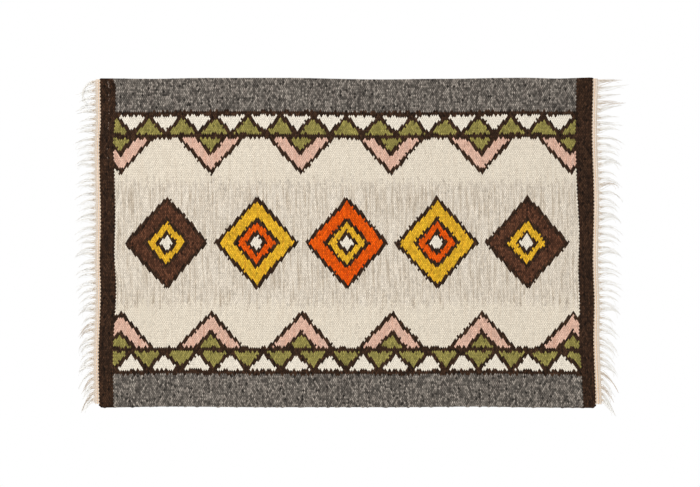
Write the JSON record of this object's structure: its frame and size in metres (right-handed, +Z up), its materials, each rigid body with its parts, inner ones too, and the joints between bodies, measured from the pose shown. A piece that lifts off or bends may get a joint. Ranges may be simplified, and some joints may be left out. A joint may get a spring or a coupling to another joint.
{
  "type": "woven wall tapestry",
  "caption": "Flat-woven wool wall tapestry with banded geometric design, light cotton headings and a knotted fringe at both ends, hung by its top edge.",
  "frame": {"origin": "middle of the top edge, on the wall side", "axes": "+Z up the wall, +X along the top edge to the right as seen from the front, +Y into the wall, so the front faces -Y"},
  "size_m": [1.1773, 0.0177, 0.7245],
  "materials": {
    "wool": "weft-faced wool weave, matt",
    "cotton": "undyed cotton warp, matt"
  },
  "bodies": {
    "root": {"woven_panel": "wool", "fringe_left": "cotton", "fringe_right": "cotton"}
  },
  "joints": []
}
